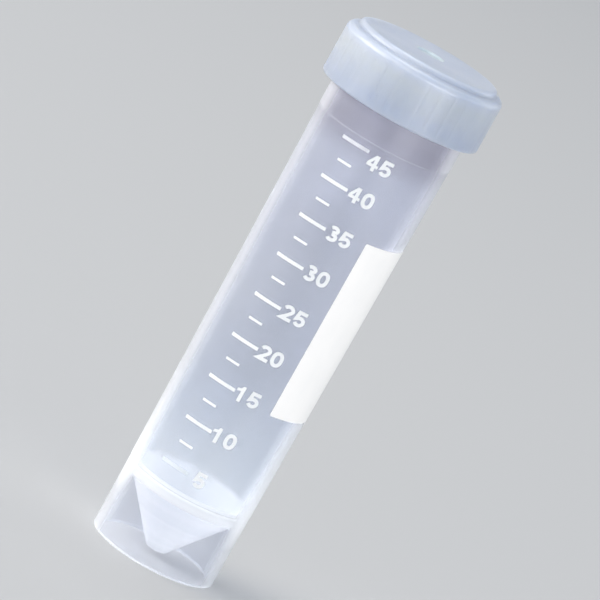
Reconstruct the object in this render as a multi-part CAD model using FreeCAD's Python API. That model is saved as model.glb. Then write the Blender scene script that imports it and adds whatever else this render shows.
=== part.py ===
import FreeCAD, Part
import math
import os

from FreeCAD import Vector

os.makedirs("parts", exist_ok=True)

# Self-standing 50 ml conical tube and its screw cap, two polypropylene mouldings.
# Millimetres. The origin is the centre of the ring that the tube stands on, +Z up the tube's axis.

# Tube: heights above the surface it stands on
skirt_height = 16.3
parting_height = 97.8
collar_height = 104.4
lip_height = 112.9
mouth_height = 114.8

# Tube: outer radii, the wall, and the land in the mouth where the cap seals
skirt_radius = 13.66
barrel_foot_radius = 13.73
barrel_neck_radius = 14.63
collar_radius = 14.73
neck_radius = 14.55
lip_radius = 14.25
wall = 1.16
mouth_bore_radius = 13.5
seal_land_height = 110.0
foot_round = 0.35
rim_round = 0.3

# Cone inside the skirt, with a blunt tip that stays clear of the table
cone_half_angle = 37.5
cone_wall = 1.1
tip_height = 1.2
tip_radius = 2.2
tip_round = 1.0
cone_inside_round = 1.6
cone_corner_round = 0.6
gate_nub_radius = 0.8
gate_nub_height = 0.25

# Thread ridge on the neck
thread_crest_radius = 15.65
thread_root_half_width = 0.95
thread_crest_half_width = 0.4
thread_pitch = 3.4
thread_turns = 1.75
thread_start_height = 105.9
thread_runout_angle = 40.0
thread_runout_least = 0.08
thread_section_step = 10.0
thread_embed = 0.4

# Cap: heights and radii
cap_bottom_height = 103.95
cap_shoulder_height = 115.25
cap_top_height = 116.85
cap_ceiling_height = 114.95
cap_radius = 17.46
cap_bore_radius = 16.0
cap_lead_radius = 16.3
cap_lead_height = 0.6
cap_bottom_round = 0.45
cap_shoulder_round = 1.8
shoulder_wall = 1.5
bore_corner_round = 0.5
rim_groove_radius = 14.75

# Cap: raised disc on top, with a dished gate mark in its middle
disc_foot_radius = 15.58
disc_radius = 15.35
disc_round = 1.3
dish_radius = 2.9
dish_depth = 0.45
dish_round = 0.35

# Cap: plug ring that seals inside the mouth
plug_radius = 13.35
plug_tip_radius = 13.05
plug_bore_radius = 12.35
plug_length = 3.6
plug_bead_drop = 2.2
plug_round = 0.25

# Cap: shallow flutes round the wall, with broad ribs between them
flute_count = 36
flute_depth = 0.08
flute_cutter_radius = 4.0


def on_plane(point):
    """A (radius, height) point of a profile, in the XZ plane."""
    return Vector(point[0], 0, point[1])


def direction(start, end):
    """Unit step from one (radius, height) point towards another."""
    across = end[0] - start[0]
    up = end[1] - start[1]
    length = math.hypot(across, up)
    return across / length, up / length


def corner_arc(before, corner, after, rounding):
    """Start, middle and end of the arc that rounds one corner of a profile."""
    back = direction(corner, before)
    ahead = direction(corner, after)
    half_angle = 0.5 * math.acos(back[0] * ahead[0] + back[1] * ahead[1])
    tangent = rounding / math.tan(half_angle)
    start = (corner[0] + back[0] * tangent, corner[1] + back[1] * tangent)
    end = (corner[0] + ahead[0] * tangent, corner[1] + ahead[1] * tangent)
    halfway = ((start[0] + end[0]) / 2, (start[1] + end[1]) / 2)
    inward = direction(corner, halfway)
    gap = rounding / math.sin(half_angle) - rounding
    middle = (corner[0] + inward[0] * gap, corner[1] + inward[1] * gap)
    return start, middle, end


def turned_solid(corners):
    """Solid of revolution about Z. Each corner is (radius, height, rounding)."""
    starts = []
    ends = []
    arcs = []
    for i, (radius, height, rounding) in enumerate(corners):
        start = end = (radius, height)
        arc = None
        if rounding:
            before = corners[i - 1][:2]
            after = corners[(i + 1) % len(corners)][:2]
            start, middle, end = corner_arc(before, start, after, rounding)
            arc = Part.Arc(on_plane(start), on_plane(middle), on_plane(end)).toShape()
        starts.append(start)
        ends.append(end)
        arcs.append(arc)
    edges = []
    for i, arc in enumerate(arcs):
        if arc:
            edges.append(arc)
        following = starts[(i + 1) % len(starts)]
        edges.append(Part.makeLine(on_plane(ends[i]), on_plane(following)))
    face = Part.Face(Part.Wire(edges))
    return face.revolve(Vector(0, 0, 0), Vector(0, 0, 1), 360)


def thread_section(angle, strength):
    """Outline of the neck's ridge at one angle. Its height off the neck follows strength, 0 to 1."""
    height = thread_start_height + thread_pitch * angle / 360
    depth = thread_crest_radius - neck_radius
    flank = (thread_root_half_width - thread_crest_half_width) / depth
    root_half_width = thread_root_half_width * (0.6 + 0.4 * strength)
    crest_radius = neck_radius + strength * depth
    crest_half_width = root_half_width - flank * strength * depth
    sunk_radius = neck_radius - thread_embed
    sunk_half_width = root_half_width + flank * thread_embed
    outline = [
        (sunk_radius, -sunk_half_width),
        (crest_radius, -crest_half_width),
        (crest_radius, crest_half_width),
        (sunk_radius, sunk_half_width),
    ]
    across = Vector(math.cos(math.radians(angle)), math.sin(math.radians(angle)), 0)
    corners = [across * radius + Vector(0, 0, height + offset) for radius, offset in outline]
    return Part.makePolygon(corners + corners[:1])


def thread_ridge():
    """Helical ridge that fades out at both ends, sunk a little into the neck."""
    whole_angle = 360 * thread_turns
    count = round(whole_angle / thread_section_step)
    sections = []
    for i in range(count + 1):
        angle = whole_angle * i / count
        from_end = min(angle, whole_angle - angle)
        rise = math.sin(math.pi / 2 * min(1, from_end / thread_runout_angle))
        strength = thread_runout_least + (1 - thread_runout_least) * rise
        sections.append(thread_section(angle, strength))
    return Part.makeLoft(sections, True, False)


def tube_body():
    """Barrel, neck, cone and skirt, one moulding."""
    slope = math.tan(math.radians(cone_half_angle))
    # the cone's inner and outer faces are parallel, this far apart along the radius
    cone_wall_across = cone_wall / math.cos(math.radians(cone_half_angle))
    bore_foot_radius = barrel_foot_radius - wall
    bore_neck_radius = barrel_neck_radius - wall
    skirt_bore_radius = skirt_radius - wall
    bore_foot_height = tip_height + (bore_foot_radius + cone_wall_across - tip_radius) / slope
    skirt_bore_height = tip_height + (skirt_bore_radius - tip_radius) / slope
    floor_height = tip_height + cone_wall
    floor_radius = tip_radius + slope * cone_wall - cone_wall_across
    outside = [
        (skirt_bore_radius, 0, foot_round),
        (skirt_radius, 0, foot_round),
        (skirt_radius, skirt_height, 0),
        (barrel_foot_radius, skirt_height, 0),
        (barrel_neck_radius, parting_height, 0),
        (collar_radius, parting_height, 0),
        (collar_radius, collar_height, 0),
        (neck_radius, collar_height + collar_radius - neck_radius, 0),
        (neck_radius, lip_height, 0),
        (lip_radius, lip_height + neck_radius - lip_radius, 0),
        (lip_radius, mouth_height, rim_round),
    ]
    inside = [
        (mouth_bore_radius, mouth_height, rim_round),
        (mouth_bore_radius, seal_land_height, 0),
        (bore_neck_radius, parting_height, 0),
        (bore_foot_radius, bore_foot_height, cone_inside_round),
        (floor_radius, floor_height, cone_inside_round),
        (0, floor_height, 0),
    ]
    underside = [
        (0, tip_height, 0),
        (tip_radius, tip_height, tip_round),
        (skirt_bore_radius, skirt_bore_height, cone_corner_round),
    ]
    shell = turned_solid(outside + inside + underside)
    nub_base = Vector(0, 0, tip_height - gate_nub_height)
    nub = Part.makeCylinder(gate_nub_radius, gate_nub_height + cone_wall / 2, nub_base)
    return shell.fuse([thread_ridge(), nub]).removeSplitter()


def cap_flute(angle):
    """Round cutter that takes one shallow flute out of the cap's wall."""
    reach = cap_radius - flute_depth + flute_cutter_radius
    x = reach * math.cos(math.radians(angle))
    y = reach * math.sin(math.radians(angle))
    length = cap_shoulder_height - cap_bottom_height
    return Part.makeCylinder(flute_cutter_radius, length, Vector(x, y, cap_bottom_height))


def screw_cap():
    """Cap wall, raised disc and plug ring, one moulding."""
    shoulder_underside_height = cap_shoulder_height - shoulder_wall
    plug_tip_height = cap_ceiling_height - plug_length
    plug_bead_height = cap_ceiling_height - plug_bead_drop
    dish_floor_height = cap_top_height - dish_depth
    outside = [
        (cap_lead_radius, cap_bottom_height, 0),
        (cap_radius, cap_bottom_height, cap_bottom_round),
        (cap_radius, cap_shoulder_height, cap_shoulder_round),
        (disc_foot_radius, cap_shoulder_height, 0),
        (disc_radius, cap_top_height, disc_round),
        (dish_radius, cap_top_height, dish_round),
        (dish_radius - dish_depth, dish_floor_height, dish_round),
        (0, dish_floor_height, 0),
    ]
    inside = [
        (0, cap_ceiling_height, 0),
        (plug_bore_radius, cap_ceiling_height, plug_round),
        (plug_bore_radius, plug_tip_height, plug_round),
        (plug_tip_radius, plug_tip_height, plug_round),
        (plug_radius, plug_bead_height, 0),
        (plug_tip_radius, cap_ceiling_height, 0),
        (rim_groove_radius, cap_ceiling_height, plug_round),
        (rim_groove_radius, shoulder_underside_height, 0),
        (cap_bore_radius, shoulder_underside_height, bore_corner_round),
        (cap_bore_radius, cap_bottom_height + cap_lead_height, 0),
    ]
    cap = turned_solid(outside + inside)
    flutes = [cap_flute(360 * i / flute_count) for i in range(flute_count)]
    return cap.cut(flutes).removeSplitter()


tube_body().exportStep("parts/tube_body.step")
screw_cap().exportStep("parts/screw_cap.step")
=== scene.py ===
import math

import bmesh
import bpy
from mathutils import Matrix, Vector
from mathutils.geometry import tessellate_polygon


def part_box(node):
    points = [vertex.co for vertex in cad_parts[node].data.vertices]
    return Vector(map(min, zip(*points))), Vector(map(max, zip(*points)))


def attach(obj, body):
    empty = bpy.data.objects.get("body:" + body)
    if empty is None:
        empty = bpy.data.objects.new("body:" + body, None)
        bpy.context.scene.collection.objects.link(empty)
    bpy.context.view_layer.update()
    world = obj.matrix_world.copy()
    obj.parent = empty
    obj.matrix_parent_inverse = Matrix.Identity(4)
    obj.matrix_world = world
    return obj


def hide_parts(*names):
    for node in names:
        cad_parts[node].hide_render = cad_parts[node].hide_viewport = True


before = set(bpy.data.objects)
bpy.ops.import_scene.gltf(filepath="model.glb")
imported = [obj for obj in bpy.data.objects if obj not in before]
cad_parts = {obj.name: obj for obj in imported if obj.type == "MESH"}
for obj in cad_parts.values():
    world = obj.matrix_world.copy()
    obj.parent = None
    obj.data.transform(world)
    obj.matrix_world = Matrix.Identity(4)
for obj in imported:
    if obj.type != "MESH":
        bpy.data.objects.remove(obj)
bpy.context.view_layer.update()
mm = 0.001
sharpAngle = 32  # edges bent more than this stay crisp, in degrees

# Self-standing 50 ml tube with its screw cap, modelled in millimetres and scaled to metres as each
# mesh is made. The foot, mouth and cap heights come from the solids' boxes, so the pieces sit there.
tubeLow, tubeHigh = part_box("tube_body")
capLow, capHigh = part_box("screw_cap")
footHeight = tubeLow.z / mm
mouthHeight = tubeHigh.z / mm
capBottom = capLow.z / mm
capTop = capHigh.z / mm


view = {
    "distance": 1.0675,  # from the tube's axis, along the floor
    "height": 0.27126,
    "sideways": 0.0011,
    "pitchDown": 11.17,
    "roll": 29.12,  # the tube leans over to the right in the frame
    "lens": 325.4,
}


def makeCamera():
    data = bpy.data.cameras.new("camera")
    data.lens = view["lens"]
    data.clip_end = 20
    camera = bpy.data.objects.new("camera", data)
    tilt = Matrix.Rotation(math.radians(90 - view["pitchDown"]), 4, "X")
    roll = Matrix.Rotation(math.radians(view["roll"]), 4, "Z")
    place = Matrix.Translation((view["sideways"], -view["distance"], view["height"]))
    camera.matrix_world = place @ tilt @ roll
    bpy.context.scene.collection.objects.link(camera)
    bpy.context.scene.camera = camera


def newMaterial(name):
    material = bpy.data.materials.new(name)
    material.use_nodes = True
    tree = material.node_tree
    return material, tree, tree.nodes["Principled BSDF"]


def addNode(tree, kind, **settings):
    node = tree.nodes.new(kind)
    for key, value in settings.items():
        setattr(node, key, value)
    return node


def fill(node, **values):
    for name, value in values.items():
        node.inputs[name.replace("_", " ")].default_value = value
    return node


def newGroup(name, inputs, outputs):
    group = bpy.data.node_groups.new(name, "ShaderNodeTree")
    for socketName, kind, value in inputs:
        socket = group.interface.new_socket(socketName, in_out="INPUT", socket_type=kind)
        socket.default_value = value
    for socketName, kind in outputs:
        group.interface.new_socket(socketName, in_out="OUTPUT", socket_type=kind)
    return group, group.nodes.new("NodeGroupInput"), group.nodes.new("NodeGroupOutput")


def placeGroup(tree, group, **values):
    node = tree.nodes.new("ShaderNodeGroup")
    node.node_tree = group
    return fill(node, **values)


# Cloudy variation of hazy plastic: a colour that drifts between two tints, and the mask behind it
def makeHazeGroup():
    group, source, result = newGroup("hazeClouds", [
        ("Thin", "NodeSocketColor", (0.8, 0.8, 0.85, 1)),
        ("Dense", "NodeSocketColor", (0.9, 0.9, 0.95, 1)),
        ("Cloud Size", "NodeSocketFloat", 90),
        ("Streak", "NodeSocketFloat", 0.15),
        ("Streak Shape", "NodeSocketVector", (1, 1, 0.06)),
    ], [("Color", "NodeSocketColor"), ("Mask", "NodeSocketFloat")])
    links = group.links
    where = addNode(group, "ShaderNodeTexCoord")
    stretch = addNode(group, "ShaderNodeMapping")
    stretch.inputs["Scale"].default_value = (1, 1, 0.45)  # clouds are drawn out along the tube
    clouds = fill(addNode(group, "ShaderNodeTexNoise"), Detail=3, Roughness=0.55)
    flow = addNode(group, "ShaderNodeMapping")
    streaks = fill(addNode(group, "ShaderNodeTexNoise"), Scale=700, Detail=2, Roughness=0.5)
    weigh = addNode(group, "ShaderNodeMix", data_type="FLOAT")
    spread = addNode(group, "ShaderNodeMapRange")
    fill(spread, From_Min=0.32, From_Max=0.68)
    tint = addNode(group, "ShaderNodeMix", data_type="RGBA")
    links.new(where.outputs["Object"], stretch.inputs["Vector"])
    links.new(stretch.outputs["Vector"], clouds.inputs["Vector"])
    links.new(source.outputs["Cloud Size"], clouds.inputs["Scale"])
    links.new(where.outputs["Object"], flow.inputs["Vector"])
    links.new(source.outputs["Streak Shape"], flow.inputs["Scale"])
    links.new(flow.outputs["Vector"], streaks.inputs["Vector"])
    links.new(source.outputs["Streak"], weigh.inputs["Factor"])
    links.new(clouds.outputs["Fac"], weigh.inputs["A"])
    links.new(streaks.outputs["Fac"], weigh.inputs["B"])
    links.new(weigh.outputs["Result"], spread.inputs["Value"])
    links.new(spread.outputs["Result"], tint.inputs["Factor"])
    links.new(source.outputs["Thin"], tint.inputs["A"])
    links.new(source.outputs["Dense"], tint.inputs["B"])
    links.new(tint.outputs["Result"], result.inputs["Color"])
    links.new(spread.outputs["Result"], result.inputs["Mask"])
    return group


# Skin of a moulding: soft sink waves, a fine satin grain, and a roughness that follows the grain
def makeSkinGroup():
    group, source, result = newGroup("mouldedSkin", [
        ("Wave Size", "NodeSocketFloat", 160),
        ("Grain Size", "NodeSocketFloat", 2600),
        ("Grain Share", "NodeSocketFloat", 0.35),
        ("Smooth", "NodeSocketFloat", 0.2),
        ("Rough", "NodeSocketFloat", 0.3),
    ], [("Height", "NodeSocketFloat"), ("Roughness", "NodeSocketFloat")])
    links = group.links
    where = addNode(group, "ShaderNodeTexCoord")
    waves = fill(addNode(group, "ShaderNodeTexNoise"), Detail=1, Roughness=0.4)
    grain = fill(addNode(group, "ShaderNodeTexNoise"), Detail=3, Roughness=0.6)
    height = addNode(group, "ShaderNodeMix", data_type="FLOAT")
    rough = addNode(group, "ShaderNodeMapRange")
    fill(rough, From_Min=0.3, From_Max=0.7)
    for noise, size in ((waves, "Wave Size"), (grain, "Grain Size")):
        links.new(where.outputs["Object"], noise.inputs["Vector"])
        links.new(source.outputs[size], noise.inputs["Scale"])
    links.new(source.outputs["Grain Share"], height.inputs["Factor"])
    links.new(waves.outputs["Fac"], height.inputs["A"])
    links.new(grain.outputs["Fac"], height.inputs["B"])
    links.new(grain.outputs["Fac"], rough.inputs["Value"])
    links.new(source.outputs["Smooth"], rough.inputs["To Min"])
    links.new(source.outputs["Rough"], rough.inputs["To Max"])
    links.new(height.outputs["Result"], result.inputs["Height"])
    links.new(rough.outputs["Result"], result.inputs["Roughness"])
    return group


# How far up the tube a point is, from 0 at the foot to 1 at the mouth
def makeHeightGroup():
    group, _, result = newGroup("tubeHeight", [], [("Share", "NodeSocketFloat")])
    where = addNode(group, "ShaderNodeTexCoord")
    axes = addNode(group, "ShaderNodeSeparateXYZ")
    share = fill(addNode(group, "ShaderNodeMapRange"), From_Max=mouthHeight * mm)
    group.links.new(where.outputs["Object"], axes.inputs["Vector"])
    group.links.new(axes.outputs["Z"], share.inputs["Value"])
    group.links.new(share.outputs["Result"], result.inputs["Share"])
    return group


hazeGroup = makeHazeGroup()
skinGroup = makeSkinGroup()
heightGroup = makeHeightGroup()


def toward(start, end):
    across, up = end[0] - start[0], end[1] - start[1]
    length = math.hypot(across, up)
    return (across / length, up / length), length


# Corners of (radius, height, rounding) become a closed outline: arcs at rounded corners, and rows
# just inside both ends of each straight run, so that smooth shading stays flat between them
def roundedOutline(corners, arcStep=12, margin=0.12):
    starts, ends, arcs = [], [], []
    for i, (radius, height, rounding) in enumerate(corners):
        corner = (radius, height)
        if not rounding:
            starts.append(corner)
            ends.append(corner)
            arcs.append([corner])
            continue
        back, _ = toward(corner, corners[i - 1][:2])
        ahead, _ = toward(corner, corners[(i + 1) % len(corners)][:2])
        between = math.acos(back[0] * ahead[0] + back[1] * ahead[1])
        tangent = rounding / math.tan(between / 2)
        reach = rounding / math.sin(between / 2)
        middle, _ = toward((0, 0), (back[0] + ahead[0], back[1] + ahead[1]))
        centre = (radius + middle[0] * reach, height + middle[1] * reach)
        start = (radius + back[0] * tangent, height + back[1] * tangent)
        end = (radius + ahead[0] * tangent, height + ahead[1] * tangent)
        first = math.atan2(start[1] - centre[1], start[0] - centre[0])
        turn = math.atan2(end[1] - centre[1], end[0] - centre[0]) - first
        turn = (turn + math.pi) % (2 * math.pi) - math.pi
        count = max(2, round(math.degrees(abs(turn)) / arcStep))
        angles = [first + turn * k / count for k in range(count + 1)]
        arc = [(centre[0] + rounding * math.cos(a), centre[1] + rounding * math.sin(a)) for a in angles]
        starts.append(start)
        ends.append(end)
        arcs.append(arc)
    outline = []
    for i, arc in enumerate(arcs):
        outline += arc
        following = starts[(i + 1) % len(starts)]
        if following[0] == 0 and ends[i][0] == 0:
            continue
        step, length = toward(ends[i], following)
        if length > 4 * margin:
            near, far = margin, length - margin
            outline.append((ends[i][0] + step[0] * near, ends[i][1] + step[1] * near))
            outline.append((ends[i][0] + step[0] * far, ends[i][1] + step[1] * far))
    return outline


# Rows added between two heights of an outline's straight run, where something is carved into it
def withRows(outline, low, high, step, radiusLimit):
    dense = []
    for i, (radius, height) in enumerate(outline):
        dense.append((radius, height))
        nextRadius, nextHeight = outline[(i + 1) % len(outline)]
        least, most = min(height, nextHeight), max(height, nextHeight)
        if min(radius, nextRadius) < radiusLimit[0] or max(radius, nextRadius) > radiusLimit[1]:
            continue
        if most - least < step or most <= low or least >= high:
            continue
        count = max(1, round((min(most, high) - max(least, low)) / step))
        for k in range(count + 1):
            share = k / count
            at = max(least, low) + (min(most, high) - max(least, low)) * share
            if nextHeight < height:
                at = min(most, high) + max(least, low) - at
            along = (at - height) / (nextHeight - height)
            if 0.0001 < along < 0.9999:
                dense.append((radius + (nextRadius - radius) * along, at))
    return dense


# Turns an outline about the tube's axis. shape(radius, height, angle) gives each point's own radius
def turnedMesh(name, outline, angles, shape=None):
    verts, rings = [], []
    for radius, height in outline:
        if radius < 0.0001:
            rings.append([len(verts)])
            verts.append((0, 0, height * mm))
            continue
        ring = []
        for angle in angles:
            r = shape(radius, height, angle) if shape else radius
            ring.append(len(verts))
            verts.append((r * math.cos(angle) * mm, r * math.sin(angle) * mm, height * mm))
        rings.append(ring)
    faces = []
    count = len(angles)
    for i, ring in enumerate(rings):
        upper = rings[(i + 1) % len(rings)]
        if len(ring) == 1 and len(upper) == 1:
            continue
        for k in range(count):
            m = (k + 1) % count
            if len(ring) == 1:
                faces.append((ring[0], upper[m], upper[k]))
            elif len(upper) == 1:
                faces.append((ring[k], ring[m], upper[0]))
            else:
                faces.append((ring[k], ring[m], upper[m], upper[k]))
    return meshObject(name, verts, faces)


def meshObject(name, verts, faces):
    mesh = bpy.data.meshes.new(name)
    mesh.from_pydata(verts, [], faces)
    bm = bmesh.new()
    bm.from_mesh(mesh)
    bmesh.ops.recalc_face_normals(bm, faces=bm.faces)
    bm.to_mesh(mesh)
    bm.free()
    mesh.shade_smooth()
    mesh.set_sharp_from_angle(angle=math.radians(sharpAngle))
    piece = bpy.data.objects.new(name, mesh)
    bpy.context.scene.collection.objects.link(piece)
    return piece


def evenAngles(count):
    return [2 * math.pi * i / count for i in range(count)]


# How far a helical ridge stands off its wall at one height and angle
def ridgeHeight(ridge, height, angle):
    most = 0
    turns = ridge["turns"]
    for lap in range(math.ceil(turns) + 1):
        along = angle / (2 * math.pi) + lap
        if not ridge["first"] <= along <= turns:
            continue
        fromEnd = min(along - ridge["first"], turns - along) * 360
        rise = math.sin(math.pi / 2 * min(1, fromEnd / ridge["runout"]))
        away = abs(height - ridge["start"] - ridge["pitch"] * along)
        rootHalf = ridge["rootHalf"] * (0.6 + 0.4 * rise)
        flank = (ridge["rootHalf"] - ridge["crestHalf"]) / ridge["depth"]
        rest = (rootHalf - away) / flank
        stands = softStep(rest, ridge["depth"] * rise)
        most = max(most, stands)
    return most


# Clamps value to 0..top, rounded off at both bends
def softStep(value, top, fillet=0.36):
    if top <= 0 or value <= -fillet:
        return 0
    low = value if value >= fillet else (value + fillet) ** 2 / (4 * fillet)
    over = low - top
    if over >= fillet:
        return top
    return low if over <= -fillet else top - (fillet - over) ** 2 / (4 * fillet)


tube = {
    "skirtRadius": 13.66,
    "skirtHeight": 16.3,
    "barrelFootRadius": 13.73,
    "barrelNeckRadius": 14.63,
    "partingHeight": 97.8,
    "collarRadius": 14.73,
    "collarHeight": 104.4,
    "neckRadius": 14.55,
    "lipHeight": 112.9,
    "lipRadius": 14.25,
    "mouthRadius": 13.5,
    "sealHeight": 110.0,
    "wall": 1.16,
    "coneHalfAngle": 37.5,
    "coneWall": 1.1,
    "tipHeight": 1.2,
    "tipRadius": 2.2,
    "gateRadius": 0.8,
    "gateDrop": 0.25,
    "footRound": 0.35,
    "rimRound": 0.3,
    "insideRound": 1.6,
    "tipRound": 1.0,
    "coneCornerRound": 0.3,
    "ledge": 0.05,  # height over which the barrel steps out at the skirt and the collar
    "mistyInside": (0.01, 0.5),  # the cone's plastic ends this far off the bore, and above its foot
    "mistyUnder": 0.1,  # and this far off the skirt
    "columns": 288,
}

# rows for the ridge, on the neck's straight run only
neckRows = {
    "low": 104.7,
    "high": 112.8,
    "step": 0.075,
    "radiusLimit": (14.4, 14.7),
}

neckThread = {
    "start": 105.9,
    "pitch": 3.4,
    "first": 0,
    "turns": 1.75,
    "depth": 1.1,
    "rootHalf": 0.95,
    "crestHalf": 0.4,
    "runout": 40,
}


def boreFoot():
    slope = math.tan(math.radians(tube["coneHalfAngle"]))
    across = tube["coneWall"] / math.cos(math.radians(tube["coneHalfAngle"]))
    radius = tube["barrelFootRadius"] - tube["wall"]
    return radius, tube["tipHeight"] + (radius + across - tube["tipRadius"]) / slope


def barrelRadius(height):
    share = (height - tube["skirtHeight"]) / (tube["partingHeight"] - tube["skirtHeight"])
    return tube["barrelFootRadius"] + (tube["barrelNeckRadius"] - tube["barrelFootRadius"]) * share


def makeTube():
    t = tube
    slope = math.tan(math.radians(t["coneHalfAngle"]))
    across = t["coneWall"] / math.cos(math.radians(t["coneHalfAngle"]))
    skirtBore = t["skirtRadius"] - t["wall"]
    footRadius, footTop = boreFoot()
    floorHeight = t["tipHeight"] + t["coneWall"]
    floorRadius = t["tipRadius"] + slope * t["coneWall"] - across
    corners = [
        (skirtBore, footHeight, t["footRound"]),
        (t["skirtRadius"], footHeight, t["footRound"]),
        (t["skirtRadius"], t["skirtHeight"], 0),
        (t["barrelFootRadius"], t["skirtHeight"] + t["ledge"], 0),
        (t["barrelNeckRadius"], t["partingHeight"], 0),
        (t["collarRadius"], t["partingHeight"] + t["ledge"], 0),
        (t["collarRadius"], t["collarHeight"], 0),
        (t["neckRadius"], t["collarHeight"] + t["collarRadius"] - t["neckRadius"], 0),
        (t["neckRadius"], t["lipHeight"], 0),
        (t["lipRadius"], t["lipHeight"] + t["neckRadius"] - t["lipRadius"], 0),
        (t["lipRadius"], mouthHeight, t["rimRound"]),
        (t["mouthRadius"], mouthHeight, t["rimRound"]),
        (t["mouthRadius"], t["sealHeight"], 0),
        (t["barrelNeckRadius"] - t["wall"], t["partingHeight"], 0),
        (footRadius, footTop, t["insideRound"]),
        (floorRadius, floorHeight, t["insideRound"]),
        (0, floorHeight, 0),
        (0, t["tipHeight"] - t["gateDrop"], 0),
        (t["gateRadius"], t["tipHeight"] - t["gateDrop"], 0),
        (t["gateRadius"], t["tipHeight"], 0),
        (t["tipRadius"], t["tipHeight"], t["tipRound"]),
        (skirtBore, t["tipHeight"] + (skirtBore - t["tipRadius"]) / slope, t["coneCornerRound"]),
    ]
    outline = withRows(roundedOutline(corners), **neckRows)

    def neckShape(radius, height, angle):
        onNeck = abs(radius - t["neckRadius"]) < 0.001
        return radius + (ridgeHeight(neckThread, height, angle) if onNeck else 0)

    piece = turnedMesh("tube_moulding", outline, evenAngles(t["columns"]), neckShape)
    piece.data.materials.append(makeTubePlastic("tubePlastic", wallLook))
    piece.data.materials.append(makeTubePlastic("conePlastic", coneLook))
    piece.data.materials.append(makeTubePlastic("coneInsidePlastic", coneInsideLook))
    offBore, aboveFoot = t["mistyInside"]
    for face in piece.data.polygons:  # the cone's plastic is mistier than the walls'
        widest = footRadius - offBore if face.normal.z > 0 else skirtBore - t["mistyUnder"]
        inCone = math.hypot(face.center.x, face.center.y) < widest * mm
        if inCone and face.center.z < (footTop + aboveFoot) * mm:
            face.material_index = 2 if face.normal.z > 0 else 1
    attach(piece, "tube")
    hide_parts("tube_body")
    print("tube", len(piece.data.polygons))


# clear is the share of light that a face lets on, and lampTint what lamps keep as they shine through.
# milk is how far a face turns white and opaque, looked at squarely, and edgeMilk edge on; milkAt is
# where between the two it starts and ends, and clouding is milk at any angle. Lists go by height, as
# (millimetres, value) stops: thick plastic and moulded ends are milkier, and the neck is greyer, a
# painted shade that is darkest round the parting line
wallLook = {
    "clear": 0.9,
    "lampTint": (0.9, 0.91, 0.93, 1),
    "thin": (0.84, 0.87, 0.95, 1),
    "dense": (0.90, 0.92, 0.97, 1),
    "smooth": [(0, 0.04), (13, 0.04), (16, 0.13)],
    "rough": [(0, 0.07), (13, 0.07), (16, 0.19)],
    "milk": 0.02,
    "edgeMilk": [
        (0, 0.35), (9, 0.4), (13.5, 0.8), (18, 0.85), (24, 0.6), (40, 0.4), (97.6, 0.4), (98, 0.5),
    ],
    "milkAt": (0.34, 0.7),
    "glow": 0,
    "glowDepth": 0.002,
    # tints: painted shade darkens the top of the barrel and the neck from 92.5 mm, most round the parting
    # line
    "tints": [
        (0, (0.88, 0.88, 0.88)), (14, (0.88, 0.88, 0.88)), (17, (0.855, 0.87, 0.87)),
        (25, (0.81, 0.83, 0.835)), (45, (0.815, 0.825, 0.84)), (92.5, (0.82, 0.82, 0.845)),
        (96, (0.69, 0.675, 0.71)), (98, (0.65, 0.63, 0.67)), (100, (0.67, 0.65, 0.69)),
        (102, (0.73, 0.71, 0.75)),
    ],
    # milkTints: painted shade greys them up the barrel to the parting line; they are lighter again on the
    # neck
    "milkTints": [
        (0, (0.96, 0.98, 1)), (20, (0.95, 0.97, 1)), (24, (0.95, 0.965, 0.98)),
        (97.6, (0.76, 0.78, 0.84)), (98, (0.85, 0.86, 0.91)),
    ],
    "clouding": [
        (0.2, 0.7), (0.4, 0), (13.9, 0), (14.4, 0.3), (15.9, 0.28), (16, 0.4), (16.4, 0.4),
        (16.6, 0.08), (45, 0), (97.5, 0), (97.8, 0.12), (98.3, 0),
    ],
    "streak": 0.15,
    "streakShape": (1, 1, 0.06),  # up the tube
}

coneLook = {
    "clear": 0.9,
    "lampTint": (0.5, 0.52, 0.55, 1),
    "thin": (0.78, 0.8, 0.83, 1),
    "dense": (1, 1, 1, 1),
    "smooth": 0.18,
    "rough": 0.26,
    "milk": 0.75,
    "edgeMilk": 1,
    "milkAt": (0.3, 0.75),
    "glow": 1,
    "glowDepth": 0.004,
    "tints": None,
    "milkTints": None,
    "clouding": None,
    "streak": 0.9,
    "streakShape": (0.03, 0.03, 1),  # round the cone
}

coneInsideLook = dict(coneLook, milk=0.7, edgeMilk=0.9)
coneInsideLook["milkTints"] = [(8, (0.74, 0.75, 0.77)), (15, (0.84, 0.85, 0.87))]


# Colour ramp read by height, from (millimetres, value) stops
def heightRamp(tree, stops):
    ramp = addNode(tree, "ShaderNodeValToRGB")
    tree.links.new(placeGroup(tree, heightGroup).outputs["Share"], ramp.inputs["Fac"])
    points = ramp.color_ramp.elements
    while len(points) > 1:
        points.remove(points[0])
    for i, (height, value) in enumerate(stops):
        point = points.new(height / mouthHeight) if i else points[0]
        point.position = height / mouthHeight
        point.color = (*value, 1) if isinstance(value, tuple) else (value, value, value, 1)
    return ramp.outputs["Color"]


# One value for the whole surface, or (millimetres, value) stops
def setByHeight(tree, socket, value):
    if isinstance(value, list):
        tree.links.new(heightRamp(tree, value), socket)
    else:
        socket.default_value = value


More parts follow.
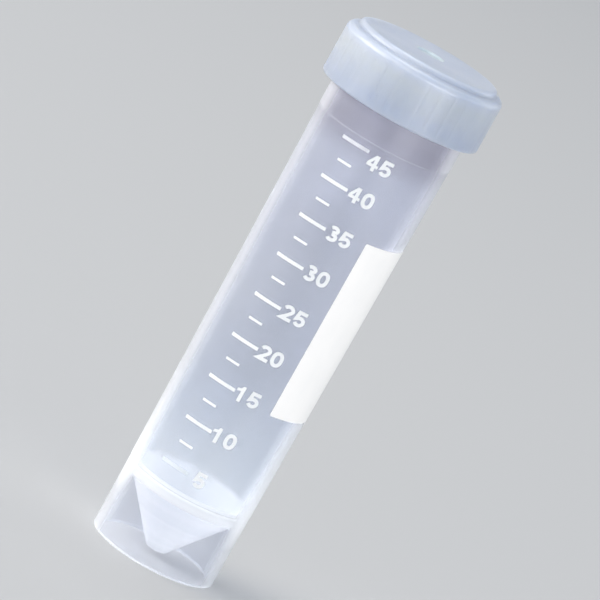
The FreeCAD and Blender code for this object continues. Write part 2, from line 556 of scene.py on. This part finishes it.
def makeTubePlastic(name, look):
    material, tree, shader = newMaterial(name)
    links = tree.links
    fill(shader, Transmission_Weight=look["clear"], IOR=1.49)
    haze = placeGroup(tree, hazeGroup, Thin=look["thin"], Dense=look["dense"], Cloud_Size=70,
                      Streak=look["streak"], Streak_Shape=look["streakShape"])
    color = haze.outputs["Color"]
    skin = placeGroup(tree, skinGroup, Wave_Size=120, Grain_Size=2400, Grain_Share=0.8)
    setByHeight(tree, skin.inputs["Smooth"], look["smooth"])
    setByHeight(tree, skin.inputs["Rough"], look["rough"])
    bump = fill(addNode(tree, "ShaderNodeBump"), Strength=0.05, Distance=0.0002)
    milk = fill(addNode(tree, "ShaderNodeBsdfPrincipled"), Roughness=0.35, Subsurface_Weight=look["glow"],
                Subsurface_Radius=(1, 1, 1), Subsurface_Scale=look["glowDepth"])
    aslant = addNode(tree, "ShaderNodeLayerWeight")
    share = addNode(tree, "ShaderNodeMapRange", interpolation_type="SMOOTHSTEP")
    fill(share, From_Min=look["milkAt"][0], From_Max=look["milkAt"][1], To_Min=look["milk"])
    setByHeight(tree, share.inputs["To Max"], look["edgeMilk"])
    milkShare = share.outputs["Result"]
    blend = addNode(tree, "ShaderNodeMixShader")
    if look["tints"]:
        tint = addNode(tree, "ShaderNodeMix", data_type="RGBA", blend_type="MULTIPLY")
        tint.inputs["Factor"].default_value = 1
        links.new(color, tint.inputs["A"])
        links.new(heightRamp(tree, look["tints"]), tint.inputs["B"])
        color = tint.outputs["Result"]
    if look["clouding"]:
        most = addNode(tree, "ShaderNodeMath", operation="MAXIMUM")
        links.new(milkShare, most.inputs[0])
        links.new(heightRamp(tree, look["clouding"]), most.inputs[1])
        milkShare = most.outputs["Value"]
    if look["milkTints"]:
        setByHeight(tree, milk.inputs["Base Color"], look["milkTints"])
    else:
        links.new(haze.outputs["Color"], milk.inputs["Base Color"])
    links.new(color, shader.inputs["Base Color"])
    links.new(bump.outputs["Normal"], shader.inputs["Normal"])
    links.new(bump.outputs["Normal"], milk.inputs["Normal"])
    links.new(skin.outputs["Roughness"], shader.inputs["Roughness"])
    links.new(skin.outputs["Height"], bump.inputs["Height"])
    links.new(aslant.outputs["Facing"], share.inputs["Value"])
    links.new(milkShare, blend.inputs["Fac"])
    links.new(shader.outputs["BSDF"], blend.inputs[1])
    links.new(milk.outputs["BSDF"], blend.inputs[2])
    # lamps shine on through the walls, as they do through thin plastic
    path = addNode(tree, "ShaderNodeLightPath")
    through = fill(addNode(tree, "ShaderNodeBsdfTransparent"), Color=look["lampTint"])
    mix = addNode(tree, "ShaderNodeMixShader")
    links.new(path.outputs["Is Shadow Ray"], mix.inputs["Fac"])
    links.new(blend.outputs["Shader"], mix.inputs[1])
    links.new(through.outputs["BSDF"], mix.inputs[2])
    links.new(mix.outputs["Shader"], tree.nodes["Material Output"].inputs["Surface"])
    return material


scale = {
    "longTick": (-7.78, 6.42, 0.7),  # left end along the arc, length, thickness
    "shortTick": (-6.3, 3.2, 0.5),
    "numberMiddle": 1.63,
    "digitWidth": 2.45,
    "digitPitch": 2.82,
    "digitHeight": 3.3,
    "stroke": 0.72,
    "topNumberDrop": 1.5,  # the highest number sits below its line
    "inkHeight": 0.03,
    "inkSunk": 0.03,
    "inkCuts": (0.4, 4.0),  # longest edge round the barrel, and up it
    "lean": 0.3,  # degrees that the print is out of line with the tube
    "numberLean": 0.65,
    "pivotHeight": 60,
    "wornAbove": 94,
    "faintBelow": 24,
}

panel = {
    "left": 7.45,  # along the arc from the middle of the scale side
    "width": 21.5,
    "bottom": 39.35,
    "top": 79.35,
    "cornerRound": 0.35,
}


# Height at which the bore holds a volume, so that each line marks what it says
def heightOfVolume(millilitres):
    footRadius, footTop = boreFoot()
    floorHeight = tube["tipHeight"] + tube["coneWall"]
    across = tube["coneWall"] / math.cos(math.radians(tube["coneHalfAngle"]))
    slope = math.tan(math.radians(tube["coneHalfAngle"]))
    floorRadius = tube["tipRadius"] + slope * tube["coneWall"] - across
    squares = footRadius**2 + footRadius * floorRadius + floorRadius**2
    cone = math.pi / 3 * (footTop - floorHeight) * squares
    neckBore = tube["barrelNeckRadius"] - tube["wall"]
    flare = (neckBore - footRadius) / (tube["partingHeight"] - footTop)
    radius = ((millilitres * 1000 - cone) * 3 * flare / math.pi + footRadius**3) ** (1 / 3)
    return footTop + (radius - footRadius) / flare


def arcPoints(centre, radii, fromAngle, toAngle, count=10):
    points = []
    for k in range(count + 1):
        angle = math.radians(fromAngle + (toAngle - fromAngle) * k / count)
        points.append((centre[0] + radii[0] * math.cos(angle), centre[1] + radii[1] * math.sin(angle)))
    return points


# A pen line of even width as one closed outline, with mitred corners
def strokeOutline(points, width):
    left, right = [], []
    last = len(points) - 1
    for i, point in enumerate(points):
        before, _ = toward(points[max(i - 1, 0)], points[max(i, 1)])
        after, _ = toward(points[min(i, last - 1)], points[min(i + 1, last)])
        normal, _ = toward((0, 0), (-before[1] - after[1], before[0] + after[0]))
        reach = width / 2 / max(0.35, normal[0] * -after[1] + normal[1] * after[0])
        left.append((point[0] + normal[0] * reach, point[1] + normal[1] * reach))
        right.append((point[0] - normal[0] * reach, point[1] - normal[1] * reach))
    return left + right[::-1]


# Outlines of a heavy upright digit in a box of width by height: the first is the shape, others are holes
def digitOutlines(digit):
    w, h, s = scale["digitWidth"], scale["digitHeight"], scale["stroke"]
    e = s / 2
    middle = w / 2
    if digit == "0":
        outer = arcPoints((middle, h / 2), (middle, h / 2), 0, 360, 40)[:-1]
        inner = arcPoints((middle, h / 2), (middle - s, h / 2 - s), 0, 360, 28)[:-1]
        return [superRound(outer, (middle, h / 2)), superRound(inner, (middle, h / 2))]
    if digit == "1":
        stem = w * 0.66
        return [[(stem - s, 0), (stem, 0), (stem, h), (stem - 0.8 * s, h), (stem - 1.15 * s, h - 0.75 * s),
                 (stem - 2.2 * s, h - 1.0 * s), (stem - 2.2 * s, h - 1.8 * s), (stem - s, h - 1.55 * s)]]
    if digit == "2":
        bowl = arcPoints((middle, h * 0.69), (middle - e, h * 0.31 - e), 165, -28, 16)
        path = bowl + [(w * 0.5, h * 0.34), (e * 1.1, e), (w, e)]
        return [strokeOutline(path, s)]
    if digit == "3":
        upper = arcPoints((middle - 0.05, h * 0.735), (middle - e - 0.12, h * 0.265 - e), 150, -80, 14)
        lower = arcPoints((middle, h * 0.29), (middle - e, h * 0.29 - e), 80, -150, 16)
        return [strokeOutline(upper + lower, s)]
    if digit == "4":
        stem = w * 0.8
        bar = h * 0.24
        return [
            [(stem - s, 0), (stem, 0), (stem, bar), (w, bar), (w, bar + s * 0.85), (stem, bar + s * 0.85),
             (stem, h), (stem - s * 1.1, h), (0, bar + s * 0.95), (0, bar), (stem - s, bar)],
            [(stem - s, bar + s * 0.85), (stem - s, h * 0.72), (s * 0.95, bar + s * 0.85)],
        ]
    bowl = arcPoints((middle, h * 0.335), (middle - e, h * 0.335 - e), 128, -150, 18)
    path = [(w * 0.93, h - e), (w * 0.24, h - e), (w * 0.16, h * 0.47)] + bowl
    return [strokeOutline(path, s)]


# Squares an ellipse up a little, as the zeros of a grotesque face are
def superRound(points, centre, squareness=0.06):
    out = []
    for x, y in points:
        dx, dy = x - centre[0], y - centre[1]
        angle = math.atan2(dy, dx)
        grow = 1 + squareness * math.sin(2 * angle) ** 2
        out.append((centre[0] + dx * grow, centre[1] + dy * grow))
    return out


# Lays flat outlines, x along the arc and y up the tube, on the barrel as one thin closed skin of ink
def wrappedInk(name, shapes, lean=scale["lean"]):
    bm = bmesh.new()
    for outlines in shapes:
        rings = [[Vector((x, y, 0)) for x, y in ring] for ring in outlines]
        flat = [point for ring in rings for point in ring]
        verts = [bm.verts.new(point) for point in flat]
        for triangle in tessellate_polygon(rings):
            bm.faces.new([verts[i] for i in triangle])
    bmesh.ops.dissolve_limit(bm, angle_limit=0.01, verts=bm.verts, edges=bm.edges)
    xs = [v.co.x for v in bm.verts]
    ys = [v.co.y for v in bm.verts]
    cutEvery(bm, (1, 0, 0), min(xs), max(xs), scale["inkCuts"][0])
    cutEvery(bm, (0, 1, 0), min(ys), max(ys), scale["inkCuts"][1])
    bmesh.ops.recalc_face_normals(bm, faces=bm.faces)
    if sum(face.normal.z for face in bm.faces) < 0:
        bmesh.ops.reverse_faces(bm, faces=bm.faces)
    top = list(bm.faces)
    raised = bmesh.ops.extrude_face_region(bm, geom=top, use_keep_orig=True)["geom"]
    lifted = {v for v in raised if isinstance(v, bmesh.types.BMVert)}
    for v in bm.verts:
        x, y = v.co.x, v.co.y
        x += (y - scale["pivotHeight"]) * math.tan(math.radians(lean))
        ground = barrelRadius(y)
        radius = ground + (scale["inkHeight"] if v in lifted else -scale["inkSunk"])
        angle = x / ground
        v.co = Vector((math.sin(angle) * radius, -math.cos(angle) * radius, y)) * mm
    bmesh.ops.recalc_face_normals(bm, faces=bm.faces)
    mesh = bpy.data.meshes.new(name)
    bm.to_mesh(mesh)
    bm.free()
    mesh.shade_smooth()
    mesh.set_sharp_from_angle(angle=math.radians(sharpAngle))
    piece = bpy.data.objects.new(name, mesh)
    bpy.context.scene.collection.objects.link(piece)
    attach(piece, "tube")
    return piece


def cutEvery(bm, normal, low, high, step):
    count = int((high - low) / step)
    for k in range(1, count + 1):
        point = Vector(normal) * (low + k * step)
        geometry = bm.verts[:] + bm.edges[:] + bm.faces[:]
        bmesh.ops.bisect_plane(bm, geom=geometry, plane_co=point, plane_no=normal, dist=0.0005)


def rectangle(left, bottom, width, height):
    right, top = left + width, bottom + height
    return [(left, bottom), (right, bottom), (right, top), (left, top)]


def numberShapes(text, middle, height):
    width = scale["digitPitch"] * (len(text) - 1) + scale["digitWidth"]
    shapes = []
    for k, digit in enumerate(text):
        left = middle - width / 2 + k * scale["digitPitch"]
        bottom = height - scale["digitHeight"] / 2
        shapes.append([[(x + left, y + bottom) for x, y in ring] for ring in digitOutlines(digit)])
    return shapes


def makePrint():
    fieldInk = makeInk("fieldInk", (0.91, 0.9, 0.885, 1), (0.94, 0.925, 0.905, 1))
    lineInk = makeInk("lineInk", (0.72, 0.74, 0.76, 1), (0.8, 0.81, 0.82, 1))
    wornInk = makeInk("wornInk", (0.56, 0.57, 0.62, 1), (0.7, 0.71, 0.76, 1))
    faintInk = makeInk("faintInk", (0.59, 0.63, 0.68, 1), (0.66, 0.7, 0.75, 1))
    ticks, numbers = [], []
    for step in range(2, 19):
        volume = step * 2.5
        height = heightOfVolume(volume)
        long = step % 2 == 0
        left, length, thick = scale["longTick"] if long else scale["shortTick"]
        ticks.append([rectangle(left, height - thick / 2, length, thick)])
        if long:
            drop = scale["topNumberDrop"] if volume == 45 else 0
            numbers += numberShapes(str(round(volume)), scale["numberMiddle"], height - drop)
    lines = wrappedInk("scale_lines", ticks)
    digits = wrappedInk("scale_numbers", numbers, scale["numberLean"])
    r = panel["cornerRound"]
    low, high = panel["bottom"] + r, panel["top"] - r
    left, right = panel["left"] + r, panel["left"] + panel["width"] - r
    field = []
    for k, centre in enumerate(((right, high), (left, high), (left, low), (right, low))):
        field += arcPoints(centre, (r, r), 90 * k, 90 * k + 90, 5)
    writing = wrappedInk("writing_panel", [[field]])
    for piece, ink in ((lines, lineInk), (digits, lineInk), (writing, fieldInk)):
        piece.data.materials.append(ink)
        print("ink", piece.name, len(piece.data.polygons))
    lines.data.materials.append(wornInk)
    lines.data.materials.append(faintInk)
    for face in lines.data.polygons:  # the top line is rubbed, and the lowest is lost in the haze
        if face.center.z > scale["wornAbove"] * mm:
            face.material_index = 1
        elif face.center.z < scale["faintBelow"] * mm:
            face.material_index = 2


def makeInk(name, thin, dense):
    material, tree, shader = newMaterial(name)
    fill(shader, Roughness=0.55)
    haze = placeGroup(tree, hazeGroup, Thin=thin, Dense=dense, Cloud_Size=300, Streak=0.05)
    skin = placeGroup(tree, skinGroup, Wave_Size=500, Grain_Size=6000, Grain_Share=0.6,
                      Smooth=0.48, Rough=0.62)
    bump = fill(addNode(tree, "ShaderNodeBump"), Strength=0.15, Distance=0.00005)
    tree.links.new(haze.outputs["Color"], shader.inputs["Base Color"])
    tree.links.new(skin.outputs["Roughness"], shader.inputs["Roughness"])
    tree.links.new(skin.outputs["Height"], bump.inputs["Height"])
    tree.links.new(bump.outputs["Normal"], shader.inputs["Normal"])
    return material


cap = {
    "radius": 17.45,
    "shoulder": 115.25,
    "ceiling": 114.95,
    "bottomRound": 0.45,
    "shoulderRound": 1.45,
    "shoulderWall": 1.5,
    "bore": 16.0,
    "leadRadius": 16.3,
    "leadHeight": 0.6,
    "rimGroove": 14.75,
    "discFoot": 15.58,
    "discRadius": 15.35,
    "discRound": 1.1,
    "grooveLift": 0.4,  # the groove's floor above the shoulder
    "grooveRound": 0.5,
    "dishRadius": 2.9,
    "dishDepth": 0.45,
    "dishRound": 0.35,
    "gateMargin": (0.3, 0.1),  # the gate's plastic goes this far out from the dish, and below its floor
    "plugRadius": 13.35,
    "plugTip": 13.05,
    "plugBore": 12.35,
    "plugLength": 3.6,
    "plugRound": 0.25,
    "boreRound": 0.5,
    "beadDrop": 2.2,
    "flutes": 36,
    "fluteDepth": 0.022,
    "fluteCutter": 4.0,
    "flankColumns": 4,  # from a flute's middle to its edge, and again across the rib
}

# rows for the thread, on the cap's bore only
capRows = {
    "low": 104.05,
    "high": 113.2,
    "step": 0.12,
    "radiusLimit": (15.9, 16.1),
}

capThread = {
    "start": 104.2,  # half a pitch below the neck's ridge
    "pitch": 3.4,
    "first": 0.3,
    "turns": 2.3,
    "depth": 1.05,
    "rootHalf": 0.9,
    "crestHalf": 0.35,
    "runout": 40,
}


def makeCap():
    c = cap
    corners = [
        (c["leadRadius"], capBottom, 0),
        (c["radius"], capBottom, c["bottomRound"]),
        (c["radius"], c["shoulder"], c["shoulderRound"]),
        (c["discFoot"], c["shoulder"] + c["grooveLift"], c["grooveRound"]),
        (c["discRadius"], capTop, c["discRound"]),
        (c["dishRadius"], capTop, c["dishRound"]),
        (c["dishRadius"] - c["dishDepth"], capTop - c["dishDepth"], c["dishRound"]),
        (0, capTop - c["dishDepth"], 0),
        (0, c["ceiling"], 0),
        (c["plugBore"], c["ceiling"], c["plugRound"]),
        (c["plugBore"], c["ceiling"] - c["plugLength"], c["plugRound"]),
        (c["plugTip"], c["ceiling"] - c["plugLength"], c["plugRound"]),
        (c["plugRadius"], c["ceiling"] - c["beadDrop"], 0),
        (c["plugTip"], c["ceiling"], 0),
        (c["rimGroove"], c["ceiling"], c["plugRound"]),
        (c["rimGroove"], c["shoulder"] - c["shoulderWall"], 0),
        (c["bore"], c["shoulder"] - c["shoulderWall"], c["boreRound"]),
        (c["bore"], capBottom + c["leadHeight"], 0),
    ]
    outline = withRows(roundedOutline(corners), **capRows)
    reach = c["radius"] - c["fluteDepth"] + c["fluteCutter"]
    pitch = 2 * math.pi / c["flutes"]
    # where a flute's edge meets the wall, and columns that fall on both edges of each flute
    edge = math.acos((reach**2 + c["radius"] ** 2 - c["fluteCutter"] ** 2) / (2 * reach * c["radius"]))
    count = c["flankColumns"]
    inFlute = [edge * k / count for k in range(-count, count + 1)]
    inRib = [edge + (pitch - 2 * edge) * k / count for k in range(1, count)]
    angles = [pitch * i + a for i in range(c["flutes"]) for a in inFlute + inRib]

    def capShape(radius, height, angle):
        if radius > c["radius"] - 2 * c["fluteDepth"]:
            off = (angle + pitch / 2) % pitch - pitch / 2
            if abs(off) < edge:
                sideways = reach * math.sin(off)
                cut = reach * math.cos(off) - math.sqrt(c["fluteCutter"] ** 2 - sideways**2)
                return min(radius, cut)
            return radius
        if abs(radius - c["bore"]) < 0.001:
            return radius - ridgeHeight(capThread, height, angle % (2 * math.pi))
        return radius

    piece = turnedMesh("cap_moulding", outline, angles, capShape)
    piece.data.materials.append(makeCapPlastic("capPlastic", capTints, capCoat, capPaintedShade))
    piece.data.materials.append(makeCapPlastic("gatePaintedLight", gatePaintedLightTints, gateCoat))
    gateRadius = c["dishRadius"] + c["gateMargin"][0]
    gateFloor = capTop - c["dishDepth"] - c["gateMargin"][1]
    for face in piece.data.polygons:  # painted light: the dish round the gate is tinted lighter, as if more light came in through its thin wall
        atGate = math.hypot(face.center.x, face.center.y) < gateRadius * mm
        face.material_index = int(atGate and face.center.z > gateFloor * mm)
    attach(piece, "cap")
    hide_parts("screw_cap")
    print("cap", len(piece.data.polygons))


capTints = [(0.42, 0.47, 0.585, 1), (0.49, 0.535, 0.64, 1)]
# lighter tints for the gate's dish: painted light
gatePaintedLightTints = [(0.46, 0.55, 0.62, 1), (0.55, 0.63, 0.68, 1)]
# By height: the wall's thin lower part is less glossy than the thick shoulder, and darker by a painted
# shade
capPaintedShade = [(104, (0.79, 0.8, 0.82)), (106, (0.84, 0.85, 0.86)), (112, (1, 1, 0.95)), (114, (1, 1, 1))]
capCoat = [(112, 0.15), (114.5, 0.5)]
gateCoat = 0.5


def makeCapPlastic(name, tints, coat, paintedShade=None):
    material, tree, shader = newMaterial(name)
    fill(shader, Subsurface_Weight=1, Subsurface_Scale=0.005, IOR=1.5, Coat_Roughness=0.4)
    fill(shader, Sheen_Weight=0.2, Sheen_Roughness=0.2)
    shader.inputs["Subsurface Radius"].default_value = (0.9, 1.0, 1.2)
    setByHeight(tree, shader.inputs["Coat Weight"], coat)
    haze = placeGroup(tree, hazeGroup, Thin=tints[0], Dense=tints[1], Cloud_Size=110, Streak=0.05)
    color = haze.outputs["Color"]
    # painted shade by height, multiplied into the base colour
    if paintedShade:
        shade = addNode(tree, "ShaderNodeMix", data_type="RGBA", blend_type="MULTIPLY")
        shade.inputs["Factor"].default_value = 1
        tree.links.new(color, shade.inputs["A"])
        tree.links.new(heightRamp(tree, paintedShade), shade.inputs["B"])
        color = shade.outputs["Result"]
    skin = placeGroup(tree, skinGroup, Wave_Size=200, Grain_Size=3000, Grain_Share=0.5,
                      Smooth=0.3, Rough=0.42)
    bump = fill(addNode(tree, "ShaderNodeBump"), Strength=0.15, Distance=0.0002)
    tree.links.new(color, shader.inputs["Base Color"])
    tree.links.new(skin.outputs["Roughness"], shader.inputs["Roughness"])
    tree.links.new(skin.outputs["Height"], bump.inputs["Height"])
    tree.links.new(bump.outputs["Normal"], shader.inputs["Normal"])
    return material


studio = {
    "floorSize": 8,
    "floorDrop": 0.00002,  # below the foot, so that the two don't touch
    "floorColor": (0.58, 0.58, 0.58, 1),
    "worldColor": (0.92, 0.98, 1.07, 1),
    "worldLevel": 0.46,
    "backdrop": (0.6, 0.61, 0.63, 1),
    "target": (0, 0, 0.06),
}

# level is how bright a white card held square to the lamp becomes
lamps = {
    "key": {"place": (-2.75, -0.625, 0.985), "size": (2.5, 2.0), "level": 1.12, "color": (1, 0.965, 0.92)},
    "fill": {"place": (1.3, -2.15, 0.25), "size": (1.6, 0.5), "level": 0.57, "color": (1, 1, 1)},
    "rim": {"place": (1.9, 1.5, 0.7), "size": (0.9, 1.4), "level": 0.1, "color": (0.95, 0.98, 1)},
    "top": {"place": (-0.4, 0.3, 2.2), "size": (1.2, 1.2), "level": 0.3, "color": (0.97, 0.99, 1)},
}


def makeStudio():
    size = studio["floorSize"] / 2
    verts = [(-size, -size, 0), (size, -size, 0), (size, size, 0), (-size, size, 0)]
    floor = meshObject("floor", verts, [(0, 1, 2, 3)])
    floor.location.z = footHeight * mm - studio["floorDrop"]
    material, tree, shader = newMaterial("floorPaint")
    fill(shader, Base_Color=studio["floorColor"], Roughness=0.9)
    shader.inputs["Specular IOR Level"].default_value = 0.1
    floor.data.materials.append(material)

    world = bpy.data.worlds.new("studio")
    bpy.context.scene.world = world
    world.use_nodes = True
    tree = world.node_tree
    lit = tree.nodes["Background"]
    fill(lit, Color=studio["worldColor"], Strength=studio["worldLevel"])
    seen = fill(addNode(tree, "ShaderNodeBackground"), Color=studio["backdrop"], Strength=1)
    path = addNode(tree, "ShaderNodeLightPath")
    mix = addNode(tree, "ShaderNodeMixShader")
    tree.links.new(path.outputs["Is Camera Ray"], mix.inputs["Fac"])
    tree.links.new(lit.outputs["Background"], mix.inputs[1])
    tree.links.new(seen.outputs["Background"], mix.inputs[2])
    tree.links.new(mix.outputs["Shader"], tree.nodes["World Output"].inputs["Surface"])

    for name, lamp in lamps.items():
        data = bpy.data.lights.new(name, "AREA")
        data.shape = "RECTANGLE"
        data.size, data.size_y = lamp["size"]
        data.color = lamp["color"]
        away = Vector(lamp["place"]) - Vector(studio["target"])
        data.energy = lamp["level"] * math.pi**2 * away.length_squared
        light = bpy.data.objects.new(name, data)
        light.location = lamp["place"]
        light.rotation_mode = "QUATERNION"
        light.rotation_quaternion = away.to_track_quat("Z", "Y")
        bpy.context.scene.collection.objects.link(light)


makeCamera()
makeStudio()
print("camera and studio")
makeTube()
makePrint()
makeCap()

bpy.context.scene.view_settings.view_transform = "Standard"
